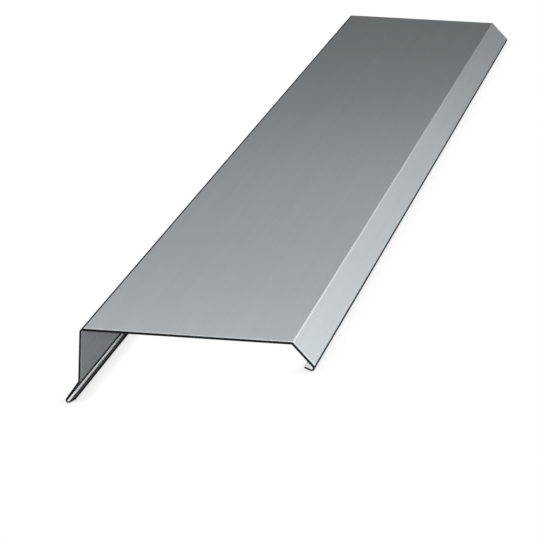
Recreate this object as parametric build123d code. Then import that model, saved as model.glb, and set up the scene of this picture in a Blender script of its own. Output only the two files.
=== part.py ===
"""Fascia flashing: one length of aluminium sheet folded to a constant section.

Units are millimetres. +Z is up, the length runs along +Y and the sloped edge is on the +X side.
The piece lies as it rests on a level floor, on the rolled backs of its two hems, with the origin
on the floor below the middle of its box.
"""

import os
from math import atan2, cos, degrees, radians, sin, tan

from build123d import *

# Stock
SHEET = 1.5
LENGTH = 2000.0

# Widths of the folded strips, measured on the weather side: to the corner where two flats would
# meet, and to the outermost point of the bend at a hem
FACE_WIDTH = 200.0
LEG_HEIGHT = 50.0
KICK_LENGTH = 23.0
SLOPE_LENGTH = 32.0
HEM_RETURN = 9.5

# Bend angles, each turned away from the strip before it
LEG_BEND = 90.0
KICK_BEND = 33.0
SLOPE_BEND = 45.0
HEM_BEND = 155.0

# Inside radii of the bends
FOLD_RADIUS = 1.0
HEM_RADIUS = 1.2

# Radii on the weather side, which is the inside of a bend at the kick-out alone
FOLD_OUTSIDE = FOLD_RADIUS + SHEET
HEM_OUTSIDE = HEM_RADIUS + SHEET


def setback(radius, bend):
    """Distance from the corner of two flats back to where the bend between them starts."""
    return radius * tan(radians(bend) / 2)


LEG_SETBACK = setback(FOLD_OUTSIDE, LEG_BEND)
KICK_SETBACK = setback(FOLD_RADIUS, KICK_BEND)
SLOPE_SETBACK = setback(FOLD_OUTSIDE, SLOPE_BEND)

LIP_FLAT = HEM_RETURN - HEM_OUTSIDE
KICK_FLAT = KICK_LENGTH - HEM_OUTSIDE - KICK_SETBACK
LEG_FLAT = LEG_HEIGHT - KICK_SETBACK - LEG_SETBACK
FACE_FLAT = FACE_WIDTH - LEG_SETBACK - SLOPE_SETBACK
SLOPE_FLAT = SLOPE_LENGTH - SLOPE_SETBACK - HEM_OUTSIDE

# The strip from the lip under the kick-out to the lip under the slope: each flat, then the bend
# that follows it (a negative turn folds away from the weather side) and its weather-side radius
FOLDS = [
    (LIP_FLAT, -HEM_BEND, HEM_OUTSIDE),
    (KICK_FLAT, KICK_BEND, FOLD_RADIUS),
    (LEG_FLAT, -LEG_BEND, FOLD_OUTSIDE),
    (FACE_FLAT, -SLOPE_BEND, FOLD_OUTSIDE),
    (SLOPE_FLAT, -HEM_BEND, HEM_OUTSIDE),
]

# Heading of the first lip that brings the face out level
FIRST_HEADING = LEG_BEND - KICK_BEND + HEM_BEND


def towards(heading):
    return Vector(cos(radians(heading)), sin(radians(heading)))


def weather_line():
    """Weather side of the section with the face level, and the centres of its bends."""
    point, heading = Vector(0, 0), FIRST_HEADING
    edges, centres = [], []
    for flat, bend, radius in FOLDS:
        run = Line(point, point + towards(heading) * flat)
        turn = JernArc(run @ 1, towards(heading), radius, bend)
        edges += [run, turn]
        centres.append(turn.arc_center)
        point, heading = turn @ 1, heading + bend
    edges.append(Line(point, point + towards(heading) * LIP_FLAT))
    return Wire([edge.edge() for edge in edges]), centres


def flashing_sheet():
    """The folded sheet, tipped until it stands on the backs of both hems."""
    line, centres = weather_line()
    section = make_face(line.offset_2d(SHEET, side=Side.RIGHT, closed=True).edges())

    # Both hems roll on the same radius, so the floor runs parallel to the line of their centres
    span = centres[-1] - centres[0]
    tip = degrees(atan2(span.Y, span.X))
    section = Rot(Z=-tip) * section

    upright = Plane.XZ * section
    sheet = extrude(upright, amount=LENGTH / 2, dir=(0, 1, 0), both=True)

    box = sheet.bounding_box()
    return Pos(-box.center().X, -box.center().Y, -box.min.Z) * sheet


sheet = flashing_sheet()
sheet.label = "flashing_sheet"

os.makedirs("parts", exist_ok=True)
export_step(sheet, "parts/flashing_sheet.step")
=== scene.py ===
from math import atan2, ceil, cos, pi, radians, sin, tan
from typing import NamedTuple

import bmesh
import bpy
from bpy.props import FloatProperty, FloatVectorProperty, PointerProperty
from bpy.types import Operator, Panel, PropertyGroup
from mathutils import Matrix, Vector


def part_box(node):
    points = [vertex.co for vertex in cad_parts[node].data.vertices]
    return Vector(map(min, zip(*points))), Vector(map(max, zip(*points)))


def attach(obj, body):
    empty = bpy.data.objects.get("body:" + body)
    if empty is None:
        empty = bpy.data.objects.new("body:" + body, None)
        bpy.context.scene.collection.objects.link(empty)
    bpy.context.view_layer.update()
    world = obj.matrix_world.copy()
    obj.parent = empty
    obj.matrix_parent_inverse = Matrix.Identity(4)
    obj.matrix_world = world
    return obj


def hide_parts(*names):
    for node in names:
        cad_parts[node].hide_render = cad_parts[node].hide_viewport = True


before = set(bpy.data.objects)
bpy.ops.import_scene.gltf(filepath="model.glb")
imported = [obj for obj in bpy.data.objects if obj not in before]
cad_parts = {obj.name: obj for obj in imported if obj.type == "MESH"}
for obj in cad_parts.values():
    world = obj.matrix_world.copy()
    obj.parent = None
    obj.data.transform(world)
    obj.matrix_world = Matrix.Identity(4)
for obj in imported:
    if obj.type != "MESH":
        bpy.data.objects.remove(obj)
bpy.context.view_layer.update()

bl_info = {
    "name": "Fascia Flashing",
    "version": (1, 0, 0),
    "blender": (4, 5, 0),
    "location": "3D View > Sidebar > Flashing",
    "description": "Folds a length of aluminium fascia flashing and lays it on a studio floor",
    "category": "Object",
}

NODE = "flashing_sheet"
NODE_LOW, NODE_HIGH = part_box(NODE)

# Order of the finishes in the sheet's material slots
WEATHER, PAINTED_SHADE, REVERSE, THROAT_HIGHLIGHT, CUT = range(5)

# Parts of a bend, as turns of the sheet
FOLD_HIGHLIGHT_FADE = radians(10)          # where the painted highlight on the slope's fold fades, at both ends of the bend
HEM_SHADE_INSET = radians(8)          # where the painted shade on the back of a hem starts, at both ends of the bend
DRIP_HEM_SHADE_ROOT = radians(55)     # where the inside of the drip hem gets painted shade, next to the drip edge

# Only the rims of the cut edges are sharper than this angle, and they are rounded in this many steps
RIM_ANGLE = radians(60)
RIM_STEPS = 2

# Marks in a metre of each pattern: across, along and up the piece
ROLLING_GRAIN = (1400.0, 5.0, 1400.0)
ROLLING_BANDS = (160.0, 1.6, 160.0)
COAT_CLOUDS = (7.0, 2.5, 7.0)
RAGGED_HIGHLIGHT = (240.0, 60.0, 240.0)
FOLDING_DRAG = (1200.0, 4.0, 1200.0)
REVERSE_GRAIN = (900.0, 6.0, 900.0)
SHEAR_MARKS = (900.0, 900.0, 900.0)
HEM_DRAWING = (1600.0, 8.0, 1600.0)

# Strengths of the patterns and of the painted highlights
STREAK_GRAIN = 0.35             # share of the grain in the streaks, with bands for the rest
ROUGH_GRAIN = 0.5               # share of the grain in the weather side's roughness, with clouds for the rest
CLOUD_MOST = 0.15               # dulling by the clouds, at most
DRAWING_MOST = 0.2              # dulling of a hem's inside, at most
FOLD_HIGHLIGHT_MOST = 0.9                  # painted highlight on the slope's fold
REVERSE_HIGHLIGHT_SHARE = 0.15              # painted highlight on the reverse by a cut end, as a share of the weather side's
RAGGED_LEAST = 0.6              # narrowest of the painted highlight by a cut end, as a share of its widest
HIGHLIGHT_FALLOFF = 0.4               # power by which it fades inwards
WEATHER_SWING = 0.05            # swing of the weather side's roughness, each way
REVERSE_SWING = 0.06            # swing of the reverse's roughness, each way

# Sockets of a Mix node for colours, which share their names with sockets of other kinds
MIX_AMOUNT, MIX_FIRST, MIX_SECOND, MIX_COLOUR = 0, 6, 7, 2

WHITE = (1.0, 1.0, 1.0)
CLIP_REACH = 4                  # how far the camera sees, in radii of the floor


def length_size(name, description, default):
    return FloatProperty(name=name, description=description, default=default, min=0.0, precision=5,
                         subtype="DISTANCE", unit="LENGTH")


def bend_angle(name, description, degrees):
    return FloatProperty(name=name, description=description, default=radians(degrees),
                         subtype="ANGLE", unit="ROTATION")


def finish_colour(name, description, default):
    return FloatVectorProperty(name=name, description=description, default=default, min=0.0, max=1.0,
                               size=3, subtype="COLOR")


def fraction(name, description, default):
    return FloatProperty(name=name, description=description, default=default, min=0.0, max=1.0,
                         subtype="FACTOR")


def lamp_power(name, description, default):
    return FloatProperty(name=name, description=description, default=default, min=0.0,
                         subtype="POWER", unit="POWER")


def place(name, description, default):
    return FloatVectorProperty(name=name, description=description, default=default, size=3,
                               subtype="TRANSLATION", unit="LENGTH")


class FlashingSizes(PropertyGroup):
    """Sizes of the folded section, measured on its weather side, and of its mesh."""

    sheet: length_size("Sheet", "Thickness of the sheet", 0.0015)
    length: length_size("Length", "Length of the piece", NODE_HIGH.y - NODE_LOW.y)
    face_width: length_size("Face width", "Broad face, from the leg's corner to the slope's corner", 0.200)
    leg_height: length_size("Leg height", "Upright leg, from the face down to the drip edge", 0.050)
    drip_length: length_size("Drip edge", "Angled drip edge, out to the back of its hem", 0.023)
    slope_length: length_size("Slope", "Sloped edge, out to the back of its hem", 0.032)
    hem_return: length_size("Hem return", "Lip of each hem, from the back of the hem to its cut edge", 0.0095)
    leg_bend: bend_angle("Leg bend", "Turn from the leg into the face", 90)
    drip_bend: bend_angle("Drip bend", "Lean of the drip edge away from the leg", 33)
    slope_bend: bend_angle("Slope bend", "Fall of the sloped edge below the face", 45)
    hem_bend: bend_angle("Hem bend", "Turn of each open hem", 155)
    fold_radius: length_size("Fold radius", "Inside radius of the three folds", 0.001)
    hem_radius: length_size("Hem radius", "Inside radius of the two hems", 0.0012)
    edge_rounding: length_size("Edge rounding", "Rounding that the shear leaves on the cut edges", 0.0002)
    # Painted shade: a dark line on the face beside the leg's fold
    shade_line_margin: length_size("Score margin", "Dark line on the face beside the leg's fold", 0.0005)
    # Painted highlight: near white on the drip edge's lip beside its hem
    throat_highlight_margin: length_size("Throat margin", "Bright metal on the drip edge's lip beside its hem", 0.0013)
    bend_step: bend_angle("Bend step", "Turn between two lines of the mesh in a bend", 5)
    flat_step: length_size("Flat step", "Widest strip of the mesh across a flat", 0.010)
    length_step: length_size("Length step", "Longest strip of the mesh along the piece", 0.050)


class FlashingFinish(PropertyGroup):
    """Colours and roughness of the sheet's sides and cut edges, with their painted highlights and painted
    shade.
    """

    weather_colour: finish_colour(
        "Weather side", "Satin silver grey of the weather side", (0.475, 0.512, 0.525))
    weather_streak: finish_colour(
        "Rolling streaks", "Paler streaks along the weather side", (0.507, 0.545, 0.558))
    weather_cloud: finish_colour(
        "Clouds", "Duller clouds on the weather side", (0.40, 0.43, 0.44))
    # Painted highlight: paler coat by the cut ends and on the slope's fold
    painted_highlight_colour: finish_colour(
        "Rubbed coat", "Paler coat by the cut ends and on the slope's fold", (0.78, 0.81, 0.82))
    # Painted shade: dark of the leg's fold, the backs of the hems, the drip edge's inside and a band by each
    # cut end, with paler streaks
    painted_shade_colour: finish_colour(
        "Scored metal", "Dark of the scored bends, of the drip edge's inside and of the burr",
        (0.014, 0.017, 0.020))
    painted_shade_streak: finish_colour(
        "Scored streaks", "Paler streaks where the metal is scored", (0.030, 0.036, 0.042))
    # Duller backing coat, darkened further as painted shade from the face above
    reverse_coat_and_shade_colour: finish_colour(
        "Reverse", "Duller grey of the reverse", (0.097, 0.109, 0.118))
    reverse_coat_and_shade_streak: finish_colour(
        "Reverse streaks", "Paler streaks along the reverse", (0.108, 0.121, 0.130))
    # Painted highlight: near white inside each hem
    throat_highlight_colour: finish_colour(
        "Hem throat", "Bright metal inside each hem", (0.95, 0.955, 0.955))
    # Painted shade: near black sheared edge, with paler shear marks
    cut_shade_colour: finish_colour(
        "Cut edge", "Dark sheared edge of the sheet", (0.0015, 0.0016, 0.0018))
    cut_shade_streak: finish_colour(
        "Shear marks", "Paler marks that the shear leaves", (0.004, 0.0042, 0.0045))
    weather_roughness: fraction("Weather roughness", "Middle roughness of the weather side", 0.38)
    reverse_roughness: fraction("Reverse roughness", "Middle roughness of the reverse", 0.52)
    # Width of the painted highlight by a cut end
    highlight_rim_width: length_size("Rubbed width", "Width of the paler coat by a cut end", 0.0105)
    # Width of the painted shade band by a cut end
    burr_shade_width: length_size("Burr width", "Width of the dark burr by a cut end", 0.0036)


class FlashingStage(PropertyGroup):
    """Floor, light and camera."""

    floor_colour: finish_colour("Floor", "Pale studio floor, as it lights the piece", (0.70, 0.70, 0.70))
    contact_colour: finish_colour("Contact shadow", "Floor right beside the hems", (0.70, 0.70, 0.71))
    contact_reach: length_size("Contact reach", "Reach of the shadow beside the hems", 0.018)
    floor_radius: length_size("Floor radius", "Reach of the floor around the piece", 40.0)
    rim_height: length_size("Rim height", "Height of the floor's upturned rim", 3.0)
    sky_colour: finish_colour("Sky", "Soft light from all around", (0.06, 0.06, 0.06))
    key_place: place("Key lamp", "Large soft lamp on the sloped side", (2.05, -0.55, 0.83))
    key_size: length_size("Key size", "Side of the key lamp", 0.8)
    key_power: lamp_power("Key power", "Power of the key lamp", 30.0)
    front_place: place("Front lamp", "Soft lamp in front, which reaches under the face", (0.38, -3.20, 0.485))
    front_size: length_size("Front size", "Side of the front lamp", 0.3)
    front_power: lamp_power("Front power", "Power of the front lamp", 185.0)
    fill_place: place("Fill lamp", "Weak lamp behind, on the leg's side", (-1.7, 2.2, 0.55))
    fill_size: length_size("Fill size", "Side of the fill lamp", 1.2)
    fill_power: lamp_power("Fill power", "Power of the fill lamp", 24.0)
    over_place: place("Over lamp", "Weak lamp over the face", (0.24, -0.20, 0.55))
    over_size: length_size("Over size", "Side of the lamp over the face", 0.3)
    over_power: lamp_power("Over power", "Power of the lamp over the face", 0.27)
    sheen_place: place("Sheen lamp", "Wide lamp overhead that shows only as a sheen", (1.3, -0.3, 1.5))
    sheen_size: length_size("Sheen size", "Side of the sheen lamp", 1.6)
    sheen_power: lamp_power("Sheen power", "Power of the sheen lamp", 8.0)
    camera_place: place("Camera", "Place of the camera", (0.7518, -4.6714, 0.7881))
    camera_heading: bend_angle("Camera heading", "Turn of the view from the length", -10.176)
    camera_tilt: bend_angle("Camera tilt", "Lift of the view above level", -10.460)
    camera_roll: bend_angle("Camera roll", "Lean of the camera to its right", 9.560)
    camera_lens: FloatProperty(name="Camera lens", description="Focal length", default=275.0, unit="CAMERA")


def setback(radius, bend):
    """Distance from the corner of two flats back to where the bend between them starts."""
    return radius * tan(bend / 2)


def towards(heading):
    return Vector((cos(heading), sin(heading)))


def weather_side(heading):
    """Outward direction of the weather side on a strip that runs along this heading."""
    return towards(heading + pi / 2)


class StripLine(NamedTuple):
    """One line of the mesh along the piece, where the section crosses it."""

    point: Vector
    out: Vector         # towards the weather side
    fold_highlight: float       # how strong the painted highlight on the slope's fold is
    weather: int        # finish of the weather side between this line and the one before
    reverse: int        # finish of the reverse between this line and the one before


def strip_folds(sizes):
    """Bands of each flat of the strip, then the bend after it, its weather-side radius and its kind.

    The strip runs from the lip under the drip edge to the lip under the slope. A band is its width and
    the finishes of its weather side and its reverse. A negative bend folds away from the weather side.
    """
    fold_outside = sizes.fold_radius + sizes.sheet
    hem_outside = sizes.hem_radius + sizes.sheet
    drip_setback = setback(sizes.fold_radius, sizes.drip_bend)
    leg_setback = setback(fold_outside, sizes.leg_bend)
    slope_setback = setback(fold_outside, sizes.slope_bend)

    lip = sizes.hem_return - hem_outside
    drip = sizes.drip_length - hem_outside - drip_setback
    leg = sizes.leg_height - drip_setback - leg_setback
    face = sizes.face_width - leg_setback - slope_setback
    slope = sizes.slope_length - slope_setback - hem_outside
    # Painted highlight on the drip lip's reverse beside its hem
    drip_lip = [(lip - sizes.throat_highlight_margin, WEATHER, REVERSE), (sizes.throat_highlight_margin, WEATHER, THROAT_HIGHLIGHT)]
    # Painted shade on the face beside the leg's fold
    face_with_shade_line = [(sizes.shade_line_margin, PAINTED_SHADE, REVERSE), (face - sizes.shade_line_margin, WEATHER, REVERSE)]
    return [
        (drip_lip, -sizes.hem_bend, hem_outside, "drip hem"),
        # Painted shade on the drip edge's inside
        ([(drip, WEATHER, PAINTED_SHADE)], sizes.drip_bend, sizes.fold_radius, "drip"),
        ([(leg, WEATHER, REVERSE)], -sizes.leg_bend, fold_outside, "leg"),
        (face_with_shade_line, -sizes.slope_bend, fold_outside, "slope"),
        ([(slope, WEATHER, REVERSE)], -sizes.hem_bend, hem_outside, "slope hem"),
        # Painted highlight on the slope lip's reverse
        ([(lip, WEATHER, THROAT_HIGHLIGHT)], 0.0, 0.0, "lip"),
    ]


def bend_line(kind, point, out, turned, left):
    """A line of the mesh in a bend, with the turn before it and after it."""
    into = min(turned, left)
    hem = kind.endswith("hem")
    # Painted highlight on the slope's fold
    fold_highlight = min(1.0, into / FOLD_HIGHLIGHT_FADE) if kind == "slope" else 0.0
    # Painted shade on the leg's fold and on the backs of the hems
    weather = PAINTED_SHADE if kind == "leg" or hem and into > HEM_SHADE_INSET else WEATHER
    # Painted shade on the inside of the drip hem by the drip edge
    in_shaded_root = kind == "drip hem" and left < DRIP_HEM_SHADE_ROOT
    # Painted highlight in the rest of each hem's inside
    reverse = PAINTED_SHADE if in_shaded_root else THROAT_HIGHLIGHT if hem else REVERSE
    return StripLine(point, out, fold_highlight, weather, reverse)


def strip_lines(sizes):
    """Lines of the mesh across the strip, and the centres of its bends."""
    point, heading = Vector((0.0, 0.0)), sizes.leg_bend - sizes.drip_bend + sizes.hem_bend
    lines, centres = [StripLine(point, weather_side(heading), 0.0, WEATHER, REVERSE)], []
    for bands, bend, radius, kind in strip_folds(sizes):
        for width, weather, reverse in bands:
            steps = ceil(width / sizes.flat_step)
            start = point
            for step in range(1, steps + 1):
                point = start + towards(heading) * (width * step / steps)
                lines.append(StripLine(point, weather_side(heading), 0.0, weather, reverse))
        if kind == "lip":
            break
        to_centre = weather_side(heading) * (radius if bend > 0 else -radius)
        centre = point + to_centre
        steps = ceil(abs(bend) / sizes.bend_step)
        for step in range(1, steps + 1):
            turn = bend * step / steps
            point = centre - Matrix.Rotation(turn, 2) @ to_centre
            lines.append(bend_line(kind, point, weather_side(heading + turn), abs(turn), abs(bend - turn)))
        centres.append(centre)
        heading += bend
    return lines, centres


def lay_on_floor(lines, centres):
    """The same lines tipped until both hems rest on the floor, and moved into the frame's place."""
    span = centres[-1] - centres[0]
    tip = Matrix.Rotation(-atan2(span.y, span.x), 2)
    tipped = [line._replace(point=tip @ line.point, out=tip @ line.out) for line in lines]
    across = [line.point.x for line in tipped]
    shift = Vector(((NODE_LOW.x + NODE_HIGH.x - min(across) - max(across)) / 2,
                    NODE_LOW.z - min(line.point.y for line in tipped)))
    return [line._replace(point=line.point + shift) for line in tipped]


def folded_mesh(sizes):
    """Closed mesh of the folded sheet, with each face's finish and a record of the painted highlight on the
    slope's fold.
    """
    lines = lay_on_floor(*strip_lines(sizes))
    stations = ceil(sizes.length / sizes.length_step)

    mesh = bmesh.new()
    fold_highlight = mesh.verts.layers.float.new("fold_highlight")

    def rows(depth):
        """Rows of points along the piece, this deep below the weather side."""
        made = []
        for station in range(stations + 1):
            along = NODE_LOW.y + sizes.length * station / stations
            row = []
            for line in lines:
                spot = line.point - line.out * depth
                vert = mesh.verts.new((spot.x, along, spot.y))
                vert[fold_highlight] = line.fold_highlight
                row.append(vert)
            made.append(row)
        return made

    def face(finish, *corners):
        made = mesh.faces.new(corners)
        made.material_index, made.smooth = finish, True

    weather, reverse = rows(0.0), rows(sizes.sheet)
    strips = [(this - 1, this) for this in range(1, len(lines))]
    for near in range(stations):
        far = near + 1
        for last, this in strips:
            face(lines[this].weather,
                 weather[near][last], weather[near][this], weather[far][this], weather[far][last])
            face(lines[this].reverse,
                 reverse[far][last], reverse[far][this], reverse[near][this], reverse[near][last])
        face(CUT, weather[far][0], reverse[far][0], reverse[near][0], weather[near][0])
        face(CUT, weather[near][-1], reverse[near][-1], reverse[far][-1], weather[far][-1])
    for last, this in strips:
        face(CUT, weather[0][this], weather[0][last], reverse[0][last], reverse[0][this])
        face(CUT, weather[-1][last], weather[-1][this], reverse[-1][this], reverse[-1][last])

    data = bpy.data.meshes.new("folded_sheet")
    mesh.to_mesh(data)
    mesh.free()
    return data


def apply_modifiers(piece):
    """Makes the piece's modifiers part of its mesh."""
    depsgraph = bpy.context.evaluated_depsgraph_get()
    done = bpy.data.meshes.new_from_object(piece.evaluated_get(depsgraph), depsgraph=depsgraph)
    plain, name = piece.data, piece.data.name
    piece.modifiers.clear()
    piece.data = done
    bpy.data.meshes.remove(plain)
    done.name = name


def opaque(colour):
    """A colour as a socket takes it. A socket that gives a colour stays as it is."""
    return colour if isinstance(colour, bpy.types.NodeSocket) else (*colour, 1.0)


class NodePad:
    """Short way to add and join nodes of one material or world."""

    def __init__(self, tree):
        self.tree = tree
        tree.nodes.clear()

    def add(self, kind, inputs=None, **settings):
        """A new node. Each of the inputs is a value, or another node's socket to join."""
        node = self.tree.nodes.new(kind)
        for key, value in settings.items():
            setattr(node, key, value)
        for key, value in (inputs or {}).items():
            if isinstance(value, bpy.types.NodeSocket):
                self.tree.links.new(value, node.inputs[key])
            else:
                node.inputs[key].default_value = value
        return node

    def where(self):
        """Place on the piece, in metres."""
        return self.add("ShaderNodeTexCoord").outputs["Object"]

    def attribute(self, name):
        """Number that the mesh holds for each point."""
        return self.add("ShaderNodeAttribute", attribute_name=name).outputs["Fac"]

    def noise(self, marks, detail):
        """Noise on the piece, with this many marks in a metre each way."""
        stretched = self.add("ShaderNodeMapping", {"Vector": self.where(), "Scale": marks}).outputs["Vector"]
        return self.add("ShaderNodeTexNoise", {"Vector": stretched, "Scale": 1.0, "Detail": detail,
                                               "Roughness": 0.55}).outputs["Fac"]

    def spread(self, value, low, high, from_low=0.3, from_high=0.7):
        """Maps the middle of a noise onto a range."""
        return self.add("ShaderNodeMapRange", {"Value": value, "From Min": from_low, "From Max": from_high,
                                               "To Min": low, "To Max": high}).outputs["Result"]

    def maths(self, operation, first, second=0.0, clamp=False):
        """Result of an operation on two numbers or sockets."""
        node = self.add("ShaderNodeMath", {0: first, 1: second}, operation=operation, use_clamp=clamp)
        return node.outputs["Value"]

    def weigh(self, first, second, share):
        """Sum of two patterns, with this share of the first and the rest of the second."""
        return self.maths("ADD", self.maths("MULTIPLY", first, share),
                          self.maths("MULTIPLY", second, 1 - share))

    def blend(self, amount, first, second):
        """Colour between two colours or colour sockets."""
        inputs = {MIX_AMOUNT: amount, MIX_FIRST: opaque(first), MIX_SECOND: opaque(second)}
        return self.add("ShaderNodeMix", inputs, data_type="RGBA").outputs[MIX_COLOUR]

    def relief(self, height, strength, depth):
        """Normals of a fine relief, whose depth is in metres."""
        bump = self.add("ShaderNodeBump", {"Strength": strength, "Distance": depth, "Height": height})
        return bump.outputs["Normal"]

    def finish(self, shader, output="ShaderNodeOutputMaterial"):
        """Joins a shader node to the output of the material or world."""
        self.add(output, {"Surface": shader.outputs[0]})


def new_finish(name):
    """A new material, and the pad for its nodes."""
    material = bpy.data.materials.new(name)
    material.use_nodes = True
    return material, NodePad(material.node_tree)


def cut_end_highlight_and_shade(pad, finish, sizes):
    """Where the sheet gets a painted highlight by its cut ends, and where the painted shade band by each cut
    end is.
    """
    along = pad.add("ShaderNodeSeparateXYZ", {"Vector": pad.where()}).outputs["Y"]
    from_end = pad.maths("SUBTRACT", sizes.length / 2, pad.maths("ABSOLUTE", along))
    ragged = pad.noise(RAGGED_HIGHLIGHT, detail=3.0)
    width = pad.spread(ragged, RAGGED_LEAST * finish.highlight_rim_width, finish.highlight_rim_width)
    highlight_by_cut = pad.maths("SUBTRACT", 1.0, pad.maths("DIVIDE", from_end, width), clamp=True)
    return pad.maths("POWER", highlight_by_cut, HIGHLIGHT_FALLOFF), pad.maths("LESS_THAN", from_end, finish.burr_shade_width)


def weather_finish(finish, sizes):
    """Satin aluminium with fine rolling grain along the length, a painted highlight by the cuts and on the
    slope's fold, and a painted shade band by each cut end.
    """
    material, pad = new_finish("satin_aluminium")
    grain = pad.noise(ROLLING_GRAIN, detail=3.0)
    bands = pad.noise(ROLLING_BANDS, detail=3.0)
    clouds = pad.noise(COAT_CLOUDS, detail=2.0)
    streaks = pad.spread(pad.weigh(grain, bands, STREAK_GRAIN), 0.0, 1.0, from_low=0.35, from_high=0.65)
    colour = pad.blend(streaks, finish.weather_colour, finish.weather_streak)
    colour = pad.blend(pad.spread(clouds, 0.0, CLOUD_MOST), colour, finish.weather_cloud)

    highlight_by_cut, burr_shade = cut_end_highlight_and_shade(pad, finish, sizes)
    # Painted highlight by the cut ends and on the slope's fold
    highlight_on_fold = pad.maths("MULTIPLY", pad.attribute("fold_highlight"), FOLD_HIGHLIGHT_MOST)
    colour = pad.blend(pad.maths("MAXIMUM", highlight_by_cut, highlight_on_fold), colour, finish.painted_highlight_colour)
    # Painted shade band by each cut end
    colour = pad.blend(burr_shade, colour, finish.painted_shade_colour)

    rough = pad.spread(pad.weigh(grain, clouds, ROUGH_GRAIN),
                       finish.weather_roughness - WEATHER_SWING, finish.weather_roughness + WEATHER_SWING)
    pad.finish(pad.add("ShaderNodeBsdfPrincipled", {
        "Base Color": colour, "Roughness": rough, "Metallic": 0.2, "Specular IOR Level": 0.3,
        "Normal": pad.relief(grain, strength=0.10, depth=0.00004)}))
    return material


def painted_shade_finish(finish):
    """Painted shade as a dark, matt surface on the leg's fold, the backs of the hems and the drip edge's
    inside.
    """
    material, pad = new_finish("painted_shade_bend")
    drag = pad.noise(FOLDING_DRAG, detail=3.0)
    colour = pad.blend(pad.spread(drag, 0.0, 1.0), finish.painted_shade_colour, finish.painted_shade_streak)
    pad.finish(pad.add("ShaderNodeBsdfPrincipled", {
        "Base Color": colour, "Roughness": pad.spread(drag, 0.65, 0.8), "Specular IOR Level": 0.08}))
    return material


def reverse_finish(finish, sizes):
    """Reverse of the sheet, a duller coat darkened further as painted shade, with grain along the length, a
    weaker painted highlight and the painted shade band by the cut ends.
    """
    material, pad = new_finish("dull_reverse_with_painted_shade")
    grain = pad.noise(REVERSE_GRAIN, detail=3.0)
    colour = pad.blend(pad.spread(grain, 0.0, 1.0), finish.reverse_coat_and_shade_colour, finish.reverse_coat_and_shade_streak)
    highlight_by_cut, burr_shade = cut_end_highlight_and_shade(pad, finish, sizes)
    # Weaker painted highlight by the cut ends
    colour = pad.blend(pad.maths("MULTIPLY", highlight_by_cut, REVERSE_HIGHLIGHT_SHARE), colour, finish.painted_highlight_colour)
    # Painted shade band by each cut end
    colour = pad.blend(burr_shade, colour, finish.painted_shade_colour)
    rough = pad.spread(grain, finish.reverse_roughness - REVERSE_SWING,
                       finish.reverse_roughness + REVERSE_SWING)
    pad.finish(pad.add("ShaderNodeBsdfPrincipled", {
        "Base Color": colour, "Roughness": rough, "Metallic": 0.1, "Specular IOR Level": 0.2,
        "Normal": pad.relief(grain, strength=0.12, depth=0.00004)}))
    return material


def throat_highlight_finish(finish):
    """Painted highlight inside a hem, near white, with marks drawn out along the length by the folding."""
    material, pad = new_finish("painted_highlight_hem_throat")
    drawn = pad.noise(HEM_DRAWING, detail=2.0)
    colour = pad.blend(pad.spread(drawn, 0.0, DRAWING_MOST), finish.throat_highlight_colour, finish.weather_streak)
    pad.finish(pad.add("ShaderNodeBsdfPrincipled", {
        "Base Color": colour, "Roughness": pad.spread(drawn, 0.35, 0.5), "Metallic": 0.1}))
    return material


def cut_shade_finish(finish):
    """Sheared edge painted near black as shade, with the small marks of the shear."""
    material, pad = new_finish("painted_shade_sheared_edge")
    marks = pad.noise(SHEAR_MARKS, detail=2.0)
    colour = pad.blend(pad.spread(marks, 0.0, 1.0), finish.cut_shade_colour, finish.cut_shade_streak)
    pad.finish(pad.add("ShaderNodeBsdfPrincipled", {
        "Base Color": colour, "Roughness": pad.spread(marks, 0.7, 0.85), "Specular IOR Level": 0.05,
        "Normal": pad.relief(marks, strength=0.2, depth=0.00005)}))
    return material


class FLASHING_OT_fold_sheet(Operator):
    """Fold the sheet and give its sides and cut edges their finish"""

    bl_idname = "flashing.fold_sheet"
    bl_label = "Fold Sheet"
    bl_options = {"REGISTER", "UNDO"}

    def execute(self, context):
        sizes, finish = context.scene.flashing_sizes, context.scene.flashing_finish
        piece = bpy.data.objects.new("folded_sheet", folded_mesh(sizes))
        context.scene.collection.objects.link(piece)
        for material in (weather_finish(finish, sizes), painted_shade_finish(finish), reverse_finish(finish, sizes),
                         throat_highlight_finish(finish), cut_shade_finish(finish)):
            piece.data.materials.append(material)

        rim = piece.modifiers.new("rounded rims", "BEVEL")
        rim.limit_method, rim.angle_limit = "ANGLE", RIM_ANGLE
        # The rounded rims take the painted shade of the cut edges
        rim.width, rim.segments, rim.material = sizes.edge_rounding, RIM_STEPS, CUT
        piece.modifiers.new("flat shading of flats", "WEIGHTED_NORMAL").keep_sharp = True
        apply_modifiers(piece)

        low = Vector(min(vert.co[axis] for vert in piece.data.vertices) for axis in range(3))
        high = Vector(max(vert.co[axis] for vert in piece.data.vertices) for axis in range(3))
        if (low - NODE_LOW).length > sizes.sheet or (high - NODE_HIGH).length > sizes.sheet:
            raise RuntimeError(
                f"the folded sheet spans {low} to {high}, and its node {NODE_LOW} to {NODE_HIGH}")
        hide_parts(NODE)
        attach(piece, "root")
        return {"FINISHED"}


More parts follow.
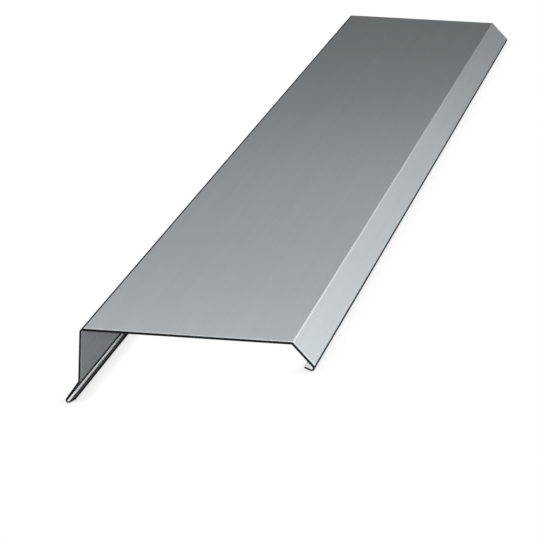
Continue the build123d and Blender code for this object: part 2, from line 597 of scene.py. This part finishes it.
def floor_finish(stage):
    """Floor that shows as white with a soft shadow by the piece, and lights it as a pale floor does."""
    material, pad = new_finish("studio_floor")
    path = pad.add("ShaderNodeLightPath").outputs
    seen = pad.maths("ADD", pad.maths("ADD", path["Is Camera Ray"], path["Is Glossy Ray"]),
                     path["Is Transmission Ray"], clamp=True)
    pale = pad.add("ShaderNodeBsdfDiffuse", {"Color": opaque(stage.floor_colour)})
    open_air = pad.add("ShaderNodeAmbientOcclusion", {"Distance": stage.contact_reach}, samples=8)
    shade = pad.blend(open_air.outputs["AO"], stage.contact_colour, WHITE)
    white = pad.add("ShaderNodeEmission", {"Color": shade, "Strength": 1.0})
    pad.finish(pad.add("ShaderNodeMixShader", {0: seen, 1: pale.outputs[0], 2: white.outputs[0]}))
    return material


def studio_floor(stage):
    """Round floor whose rim curves up, so that a low view still ends on the floor."""
    turns, rings = 96, 16
    headings = [2 * pi * turn / turns for turn in range(turns)]
    mesh = bmesh.new()
    middle = mesh.verts.new((0.0, 0.0, 0.0))
    last = None
    for ring in range(rings + 1):
        lift = pi / 2 * ring / rings
        reach = stage.floor_radius + stage.rim_height * sin(lift)
        height = stage.rim_height * (1 - cos(lift))
        row = [mesh.verts.new((reach * cos(heading), reach * sin(heading), height)) for heading in headings]
        for turn in range(turns):
            after = (turn + 1) % turns
            inner = (last[after], last[turn]) if last else (middle,)
            mesh.faces.new((*inner, row[turn], row[after]))
        last = row
    for face in mesh.faces:
        face.smooth = True
    data = bpy.data.meshes.new("studio_floor")
    mesh.to_mesh(data)
    mesh.free()
    data.materials.append(floor_finish(stage))
    floor = bpy.data.objects.new("studio_floor", data)
    bpy.context.scene.collection.objects.link(floor)


def soft_lamp(name, where, aim, size, power, sheen=False):
    """Soft lamp that lights matt surfaces, or one that shows only as a sheen on glossy ones."""
    data = bpy.data.lights.new(name, "AREA")
    data.shape, data.size, data.energy = "SQUARE", size, power
    lamp = bpy.data.objects.new(name, data)
    lamp.location = where
    lamp.rotation_euler = (aim - Vector(where)).to_track_quat("-Z", "Y").to_euler()
    lamp.visible_camera, lamp.visible_diffuse, lamp.visible_glossy = False, not sheen, sheen
    bpy.context.scene.collection.objects.link(lamp)


def view_axes(heading, tilt, roll):
    """Right, up and forward of a view that turns from +Y, lifts above level and leans to its right."""
    forward = Vector((sin(heading) * cos(tilt), cos(heading) * cos(tilt), sin(tilt)))
    level = Vector((cos(heading), -sin(heading), 0.0))
    upright = level.cross(forward)
    return level * cos(roll) - upright * sin(roll), upright * cos(roll) + level * sin(roll), forward


def inside(along):
    """Point half way up the piece and half way across it, this far along it."""
    return Vector((0.0, along, NODE_HIGH.z / 2))


class FLASHING_OT_set_stage(Operator):
    """Lay the studio floor and set the lamps, the sky and the camera"""

    bl_idname = "flashing.set_stage"
    bl_label = "Set Stage"
    bl_options = {"REGISTER", "UNDO"}

    def execute(self, context):
        scene, stage = context.scene, context.scene.flashing_stage
        studio_floor(stage)

        shown_end, middle, below = inside(NODE_LOW.y), inside(0.0), inside(stage.over_place[1])
        soft_lamp("key_lamp", stage.key_place, shown_end, stage.key_size, stage.key_power)
        soft_lamp("front_lamp", stage.front_place, shown_end, stage.front_size, stage.front_power)
        soft_lamp("fill_lamp", stage.fill_place, middle, stage.fill_size, stage.fill_power)
        soft_lamp("over_lamp", stage.over_place, below, stage.over_size, stage.over_power)
        soft_lamp("sheen_lamp", stage.sheen_place, middle, stage.sheen_size, stage.sheen_power, sheen=True)

        scene.world = bpy.data.worlds.new("soft_sky")
        scene.world.use_nodes = True
        pad = NodePad(scene.world.node_tree)
        sky = pad.add("ShaderNodeBackground", {"Color": opaque(stage.sky_colour), "Strength": 1.0})
        pad.finish(sky, "ShaderNodeOutputWorld")

        camera = bpy.data.objects.new("camera", bpy.data.cameras.new("camera"))
        camera.data.lens = stage.camera_lens
        camera.data.sensor_width, camera.data.sensor_fit = 36.0, "HORIZONTAL"
        camera.data.clip_end = CLIP_REACH * stage.floor_radius
        right, up, forward = view_axes(stage.camera_heading, stage.camera_tilt, stage.camera_roll)
        camera.matrix_world = (Matrix.Translation(stage.camera_place)
                               @ Matrix((right, up, -forward)).transposed().to_4x4())
        scene.collection.objects.link(camera)
        scene.camera = camera
        scene.view_settings.view_transform = "Standard"
        return {"FINISHED"}


class FLASHING_PT_panel(Panel):
    """Sizes, finish and stage of the flashing"""

    bl_idname = "FLASHING_PT_panel"
    bl_label = "Fascia Flashing"
    bl_space_type = "VIEW_3D"
    bl_region_type = "UI"
    bl_category = "Flashing"

    def draw(self, context):
        for title, group, operator in (
            ("Sheet", context.scene.flashing_sizes, None),
            ("Finish", context.scene.flashing_finish, FLASHING_OT_fold_sheet),
            ("Stage", context.scene.flashing_stage, FLASHING_OT_set_stage),
        ):
            box = self.layout.box()
            box.label(text=title)
            for name in type(group).__annotations__:
                box.prop(group, name)
            if operator:
                box.operator(operator.bl_idname)


CLASSES = (FlashingSizes, FlashingFinish, FlashingStage, FLASHING_OT_fold_sheet, FLASHING_OT_set_stage,
           FLASHING_PT_panel)


def register():
    for cls in CLASSES:
        bpy.utils.register_class(cls)
    bpy.types.Scene.flashing_sizes = PointerProperty(type=FlashingSizes)
    bpy.types.Scene.flashing_finish = PointerProperty(type=FlashingFinish)
    bpy.types.Scene.flashing_stage = PointerProperty(type=FlashingStage)


def unregister():
    del bpy.types.Scene.flashing_stage
    del bpy.types.Scene.flashing_finish
    del bpy.types.Scene.flashing_sizes
    for cls in reversed(CLASSES):
        bpy.utils.unregister_class(cls)


def main():
    register()
    bpy.ops.flashing.fold_sheet()
    bpy.ops.flashing.set_stage()


if __name__ == "__main__":
    main()
